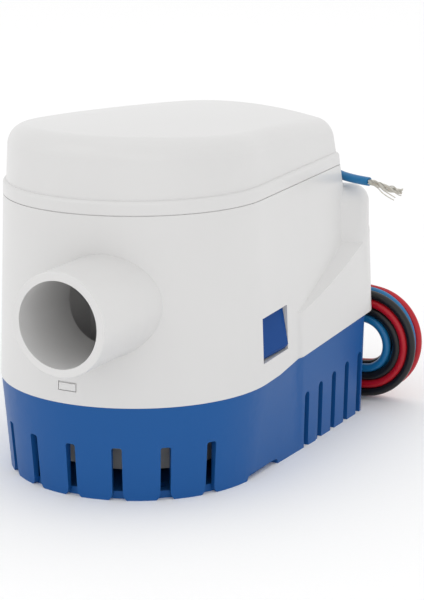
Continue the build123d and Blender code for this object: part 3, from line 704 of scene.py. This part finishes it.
def new_tree(name, **inputs):
    """An empty geometry tree with named inputs, its wrapper and its input values."""
    group = bpy.data.node_groups.new(name, "GeometryNodeTree")
    group.interface.new_socket("Geometry", in_out="INPUT", socket_type="NodeSocketGeometry")
    for key, kind in inputs.items():
        group.interface.new_socket(key, in_out="INPUT", socket_type="NodeSocket" + kind)
    group.interface.new_socket("Geometry", in_out="OUTPUT", socket_type="NodeSocketGeometry")
    tree = Tree(group)
    return group, tree, tree.node("NodeGroupInput")


def close_tree(tree, geometry, material):
    """End a geometry tree in plain meshes of one material."""
    real = tree.node("GeometryNodeRealizeInstances", {}, {"Geometry": geometry})[0]
    painted = tree.node("GeometryNodeSetMaterial", {}, {"Geometry": real, "Material": material})[0]
    tree.node("NodeGroupOutput", {}, {"Geometry": painted})


def strand_tree():
    """Twisted strands that follow the carrier's curve and spread towards its end."""
    group, tree, given = new_tree(
        "tinned strands",
        Strands="Int",
        StrandRadius="Float",
        BundleRadius="Float",
        Twist="Float",
        Fray="Float",
    )
    resampling = {"Curve": given["Geometry"], "Count": STRAND_POINTS}
    line = tree.node("GeometryNodeResampleCurve", {}, resampling)[0]
    amount = {"Geometry": line, "Amount": given["Strands"]}
    copies = tree.node("GeometryNodeDuplicateElements", {"domain": "SPLINE"}, amount)
    index = copies["Duplicate Index"]
    along = tree.node("GeometryNodeSplineParameter")["Factor"]
    drawing = {"Min": -0.5, "Max": 1.0, "ID": index, "Seed": 4}
    stray = tree.node("FunctionNodeRandomValue", {"data_type": "FLOAT"}, drawing)[1]
    turn = index * GOLDEN_ANGLE + along * given["Twist"] + stray * 0.5
    share = ((index + 0.5) / given["Strands"]) ** 0.5
    spread = given["BundleRadius"] * share * (1 + given["Fray"] * stray * along * along)
    normal = tree.node("GeometryNodeInputNormal")[0]
    tangent = tree.node("GeometryNodeInputTangent")[0]
    side = tree.node("ShaderNodeVectorMath", {"operation": "CROSS_PRODUCT"}, {0: tangent, 1: normal})[0]
    out, across = (
        tree.node(
            "ShaderNodeVectorMath",
            {"operation": "SCALE"},
            {0: direction, "Scale": spread * turn.math(function, turn)},
        )[0]
        for direction, function in ((normal, "COSINE"), (side, "SINE"))
    )
    offset = tree.node("ShaderNodeVectorMath", {"operation": "ADD"}, {0: out, 1: across})[0]
    placing = {"Geometry": copies["Geometry"], "Offset": offset}
    moved = tree.node("GeometryNodeSetPosition", {}, placing)[0]
    section = {"Resolution": 7, "Radius": given["StrandRadius"]}
    ring = tree.node("GeometryNodeCurvePrimitiveCircle", {}, section)[0]
    tube = {"Curve": moved, "Profile Curve": ring, "Fill Caps": True}
    tubes = tree.node("GeometryNodeCurveToMesh", {}, tube)[0]
    close_tree(tree, tubes, finish_of("tinned_copper"))
    return group


def screw_tree():
    """A pan-head screw with a cross recess on each of the carrier's points."""
    group, tree, given = new_tree(
        "pan head screws",
        HeadRadius="Float",
        HeadHeight="Float",
        ShankRadius="Float",
        ShankLength="Float",
        Facing="Vector",
    )
    smooth = {"Vertices": 40, "Side Segments": 1, "Fill Segments": 1}
    head = {
        "Radius Bottom": given["HeadRadius"],
        "Radius Top": given["HeadRadius"] * 0.72,
        "Depth": given["HeadHeight"],
    }
    rim = tree.node("GeometryNodeMeshCone", {}, smooth | head)[0]
    slots = []
    for across in (False, True):
        long, thin = given["HeadRadius"] * 1.15, given["HeadRadius"] * 0.22
        sides = {"X": thin if across else long, "Y": long if across else thin, "Z": given["HeadHeight"]}
        size = tree.node("ShaderNodeCombineXYZ", {}, sides)[0]
        bar = tree.node("GeometryNodeMeshCube", {}, {"Size": size})[0]
        lift = tree.node("ShaderNodeCombineXYZ", {}, {"Z": given["HeadHeight"]})[0]
        slots.append(tree.node("GeometryNodeTransform", {}, {"Geometry": bar, "Translation": lift})[0])
    cut = tree.node("GeometryNodeMeshBoolean", {"operation": "DIFFERENCE"}, {"Mesh 1": rim})
    for bar in slots:
        tree.nodes.links.new(bar.socket, cut.made.inputs["Mesh 2"])
    shank = tree.node(
        "GeometryNodeMeshCylinder",
        {},
        smooth | {"Radius": given["ShankRadius"], "Depth": given["ShankLength"]},
    )[0]
    drop = tree.node("ShaderNodeCombineXYZ", {}, {"Z": given["ShankLength"] * -0.5})[0]
    shank = tree.node("GeometryNodeTransform", {}, {"Geometry": shank, "Translation": drop})[0]
    both = tree.node("GeometryNodeJoinGeometry")
    tree.nodes.links.new(cut["Mesh"].socket, both.made.inputs[0])
    tree.nodes.links.new(shank.socket, both.made.inputs[0])
    placed = tree.node(
        "GeometryNodeInstanceOnPoints",
        {},
        {"Points": given["Geometry"], "Instance": both[0], "Rotation": given["Facing"]},
    )[0]
    close_tree(tree, placed, finish_of("stainless_steel"))
    return group


def point_carrier(name, points):
    """A mesh of loose points, in metres."""
    mesh = bpy.data.meshes.new(name)
    mesh.from_pydata([Vector(p) for p in points], [], [])
    carrier = bpy.data.objects.new(name, mesh)
    bpy.context.scene.collection.objects.link(carrier)
    return carrier


def joined(name, meshes):
    """Several meshes as one."""
    whole = bmesh.new()
    for mesh in meshes:
        whole.from_mesh(mesh)
    result = bpy.data.meshes.new(name)
    whole.to_mesh(result)
    whole.free()
    result.shade_smooth()
    result.set_sharp_from_angle(angle=SHARP_SMALL_PIECE)
    return result


# ---- the hank ----
def hank_turns(colour, leads):
    """Control points, in millimetres, of one lead's turns round the hank."""
    wire, outer = leads.wire_diameter / MM, leads.loop_radius / MM
    half, high, deep = leads.hank_half / MM, leads.hank_height / MM, leads.hank_depth_place / MM
    loose = leads.looseness / MM
    layers = TURN_LAYERS[colour]
    stray = Random(colour)
    points = []
    for turn, layer in enumerate(layers):
        radius = outer - turn * wire
        following = layers[min(turn + 1, len(layers) - 1)]
        depth, next_depth = (deep + (each - 1) * wire for each in (layer, following))
        reach, rise = stray.uniform(-1.0, 1.0) * loose, stray.uniform(-0.5, 0.6) * loose
        drawn = radius - leads.end_drawn_in / MM
        slip, lift = LAYER_SLIP[layer]
        for step in range(LOOP_STEPS + 1):  # round the visible end, downwards
            angle = radians(90 - 180 / LOOP_STEPS * step)
            swell, bulge = drawn * (1 + LOOP_SWELL * cos(angle)), cos(angle)
            x = half + leads.end_drawn_in / MM + slip + bulge * reach + swell * bulge
            z = high + leads.end_drawn_in / MM + lift + bulge * rise + swell * sin(angle)
            points.append((x, depth - bulge * reach * 0.4, z))
        if colour == "blue" and turn == len(layers) - 1:
            points.append((BLUE_LEAVES, depth, high - radius))
            break
        for x in BOTTOM_RUN:
            points.append((x, depth + stray.uniform(-RUN_STRAY, RUN_STRAY), high - radius))
        swap = (following - layer) * wire / 2
        for step in range(LOOP_STEPS + 1):  # round the hidden end, upwards, where leads swap places
            angle = radians(-90 - 180 / LOOP_STEPS * step)
            share = step / LOOP_STEPS
            eased = share * share * (3 - 2 * share)
            swell = radius * (1 - LOOP_SWELL * cos(angle)) - swap * sin(pi * share)
            y = depth + (next_depth - depth) * eased
            points.append((-half + swell * cos(angle), y, high + swell * sin(angle)))
        end = LAST_TURN_END.get(colour) if turn == len(layers) - 1 else None
        if end is not None:
            points += [(-20.0, next_depth, high + radius), (end - 6.0, next_depth, high + radius)]
            points.append((end, next_depth, high + radius - 0.3))
            break
        for x, drop in TOP_RUN:
            y = next_depth + stray.uniform(-RUN_STRAY, RUN_STRAY)
            points.append((x, y, high + radius - drop * wire))
    return points


# ---- operators ----
class PUMP_OT_studio(bpy.types.Operator):
    """Camera, soft lights and a plain pale floor"""

    bl_idname = "pump.studio"
    bl_label = "Studio"

    def execute(self, context):
        studio, scene = context.scene.pump_studio, context.scene
        back = Vector(
            (
                sin(studio.azimuth) * cos(studio.elevation),
                -cos(studio.azimuth) * cos(studio.elevation),
                sin(studio.elevation),
            )
        )
        right = Vector((cos(studio.azimuth), sin(studio.azimuth), 0.0))
        up = back.cross(right)
        aim = Vector((0.0, 0.0, AIM_HEIGHT)) + right * AIM_RIGHT - up * AIM_DOWN
        data = bpy.data.cameras.new("studio_camera")
        data.lens, data.sensor_width, data.sensor_fit = studio.lens, 36.0, "AUTO"
        data.clip_start, data.clip_end = 0.01, 50.0
        camera = bpy.data.objects.new("studio_camera", data)
        camera.location = aim + back * studio.distance
        camera.rotation_euler = back.to_track_quat("Z", "Y").to_euler()
        scene.collection.objects.link(camera)
        scene.camera = camera

        for name, place, size, power, tint in (
            ("key_light", (-0.75, -1.15, 1.15), 1.1, studio.key_power, (1.0, 0.995, 0.985)),
            ("fill_light", (0.85, -1.25, 0.50), 1.0, studio.key_power * 0.9, (0.985, 0.99, 1.0)),
            ("top_light", (0.05, 0.35, 1.35), 1.2, studio.key_power * 0.6, (1.0, 1.0, 1.0)),
        ):
            light = bpy.data.lights.new(name, "AREA")
            light.shape, light.size, light.energy, light.color = "SQUARE", size, power, tint
            lamp = bpy.data.objects.new(name, light)
            lamp.location = place
            away = Vector(place) - Vector(LAMP_TARGET)
            lamp.rotation_euler = away.to_track_quat("Z", "Y").to_euler()
            scene.collection.objects.link(lamp)

        world = bpy.data.worlds.new("pale_studio")
        world.use_nodes = True
        world.node_tree.nodes["Background"].inputs["Color"].default_value = (1, 1, 1, 1)
        world.node_tree.nodes["Background"].inputs["Strength"].default_value = 1.0
        scene.world = world
        scene.view_settings.view_transform = "Standard"

        floor = bmesh.new()
        bmesh.ops.create_grid(floor, x_segments=8, y_segments=8, size=FLOOR_HALF)
        mesh = bpy.data.meshes.new("studio_floor")
        floor.to_mesh(mesh)
        floor.free()
        mesh.materials.append(finish("studio_floor_paint", floor_paint, studio.floor_colour))
        ground = bpy.data.objects.new("studio_floor", mesh)
        scene.collection.objects.link(ground)
        return {"FINISHED"}


class PUMP_OT_leads(bpy.types.Operator):
    """The red, black and blue leads, from the gland to their stripped ends"""

    bl_idname = "pump.leads"
    bl_label = "Leads"

    def execute(self, context):
        leads = context.scene.pump_leads
        for colour, route in LEAD_ROUTES.items():
            inside_gland = Vector(route[0]) - Vector((0, GLAND_GRIP, 0))
            points = [inside_gland, *route, *hank_turns(colour, leads)]
            nodes = [colour + "_lead", "lead_hank"]
            if colour == "blue":
                points += [*BLUE_LEAVING, *BLUE_TAIL]
                nodes.append("blue_tail")
            lead = nurbs(colour + "_wire", points, leads.wire_diameter / 2)
            lead.data.materials.append(finish_of(colour + "_insulation"))
            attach(lead, "housing")
            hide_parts(*nodes)
        return {"FINISHED"}


class PUMP_OT_bare_ends(bpy.types.Operator):
    """Twisted tinned strands at the stripped ends"""

    bl_idname = "pump.bare_ends"
    bl_label = "Bare ends"

    def execute(self, context):
        leads = context.scene.pump_leads
        tree = strand_tree()
        tail = Vector(BLUE_TAIL[-1])
        few = {"StrandRadius": leads.strand_radius, "BundleRadius": BUNDLE_RADIUS}
        full = few | {"Strands": leads.strand_count}
        bundles = [
            (tail, TAIL_STRANDS, full | {"Twist": 7.0, "Fray": 1.1}),
            (tail, STRAY_STRAND, few | {"Strands": 2, "Twist": 2.0, "Fray": 0.5}),
        ]
        for colour in LAST_TURN_END:
            last = Vector(hank_turns(colour, leads)[-1])
            bundles.append((last, CUT_END, full | {"Twist": 6.0, "Fray": 0.3}))
        meshes = []
        for start, path, values in bundles:
            carrier = nurbs("strand_path", [start + Vector(point) for point in path])
            meshes.append(run_tree(carrier, tree, **values))
        copper = finish_of("tinned_copper")
        ends = own_piece("tinned_ends", joined("tinned_ends", meshes), copper)
        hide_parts("bare_strands")
        return {"FINISHED"}


class PUMP_OT_mouldings(bpy.types.Operator):
    """Housing, cover, strainer base, latches, gland and tie, smoothed and finished"""

    bl_idname = "pump.mouldings"
    bl_label = "Mouldings"

    def execute(self, context):
        for node, body, material, slot in (
            ("main_housing", "housing", "white_shell", "white_shell"),
            ("top_cover", "housing", "white_shell", "white_shell"),
            ("strainer_base", "housing", "blue_base", "blue_base"),
            # the latches get the base blue darkened as painted shade, though their slot is blue_base
            ("side_latch_right", "latch_right", "blue_latch_shaded", "blue_base"),
            ("side_latch_left", "latch_left", "blue_latch_shaded", "blue_base"),
            ("volute_casing", "housing", "grey_pump", "grey_pump"),
            ("intake_plate", "housing", "grey_pump", "grey_pump"),
            ("cable_gland", "housing", "black_rubber", "black_rubber"),
            ("hank_tie", "housing", "nylon_tie", "nylon_tie"),
        ):
            smooth_copy(node, body, finish_of(material))
        return {"FINISHED"}


class PUMP_OT_screws(bpy.types.Operator):
    """Pan-head screws in the intake plate and in the circuit board"""

    bl_idname = "pump.screws"
    bl_label = "Screws"

    def execute(self, context):
        tree = screw_tree()
        plate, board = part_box("intake_screws"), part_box("board_screws")
        low, ring = plate[0].z, plate[1].y - INTAKE_HEAD_RADIUS
        places = [
            (ring * cos(angle), ring * sin(angle), low + INTAKE_HEAD_HEIGHT)
            for angle in INTAKE_SCREW_ANGLES
        ]
        under = run_tree(
            point_carrier("intake_screw_places", places),
            tree,
            HeadRadius=INTAKE_HEAD_RADIUS,
            HeadHeight=INTAKE_HEAD_HEIGHT,
            ShankRadius=INTAKE_SHANK_RADIUS,
            ShankLength=plate[1].z - low - INTAKE_HEAD_HEIGHT,
            Facing=(pi, 0.0, 0.0),
        )
        inset = BOARD_HEAD_RADIUS
        corners = [
            (x, y, board[1].z - BOARD_HEAD_HEIGHT)
            for x in (board[0].x + inset, board[1].x - inset)
            for y in (board[0].y + inset, board[1].y - inset)
        ]
        above = run_tree(
            point_carrier("board_screw_places", corners),
            tree,
            HeadRadius=BOARD_HEAD_RADIUS,
            HeadHeight=BOARD_HEAD_HEIGHT,
            ShankRadius=BOARD_SHANK_RADIUS,
            ShankLength=board[1].z - BOARD_HEAD_HEIGHT - board[0].z,
            Facing=(0.0, 0.0, 0.0),
        )
        steel = finish_of("stainless_steel")
        for node, mesh in (("intake_screws", under), ("board_screws", above)):
            name = node.replace("_screws", "_pan_heads")
            heads = own_piece(name, joined(name, [mesh]), steel)
            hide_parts(node)
        return {"FINISHED"}


class PUMP_OT_works(bpy.types.Operator):
    """Finishes for the motor, pump, float and electrics inside"""

    bl_idname = "pump.works"
    bl_label = "Works"

    def execute(self, context):
        slots = {part["node"]: part["material_slot"] for part in frame["record"]["subparts"]}
        for node, shown in frame["nodes"].items():
            if not shown.hide_render:
                shown.data.materials.clear()
                shown.data.materials.append(finish_of(slots[node]))
        return {"FINISHED"}


class PUMP_PT_panel(bpy.types.Panel):
    """Shows the pump's settings and the buttons of its operators"""

    bl_idname = "PUMP_PT_panel"
    bl_label = "Bilge Pump"
    bl_space_type = "VIEW_3D"
    bl_region_type = "UI"
    bl_category = "Bilge Pump"

    def draw(self, context):
        for group in SETTINGS:
            settings = getattr(context.scene, group)
            for name in settings.__annotations__:
                self.layout.prop(settings, name)
        for operator in OPERATORS:
            self.layout.operator(operator.bl_idname)


OPERATORS = (
    PUMP_OT_studio,
    PUMP_OT_leads,
    PUMP_OT_bare_ends,
    PUMP_OT_mouldings,
    PUMP_OT_screws,
    PUMP_OT_works,
)
SETTINGS = {"pump_finishes": PumpFinishes, "pump_leads": PumpLeads, "pump_studio": PumpStudio}


def register():
    for made in (*SETTINGS.values(), *OPERATORS, PUMP_PT_panel):
        bpy.utils.register_class(made)
    for name, group in SETTINGS.items():
        setattr(bpy.types.Scene, name, bpy.props.PointerProperty(type=group))


def unregister():
    for name in SETTINGS:
        delattr(bpy.types.Scene, name)
    for made in reversed((*SETTINGS.values(), *OPERATORS, PUMP_PT_panel)):
        bpy.utils.unregister_class(made)


def main():
    register()
    bpy.ops.pump.studio()
    bpy.ops.pump.leads()
    bpy.ops.pump.bare_ends()
    bpy.ops.pump.mouldings()
    bpy.ops.pump.screws()
    bpy.ops.pump.works()


if __name__ == "__main__":
    main()
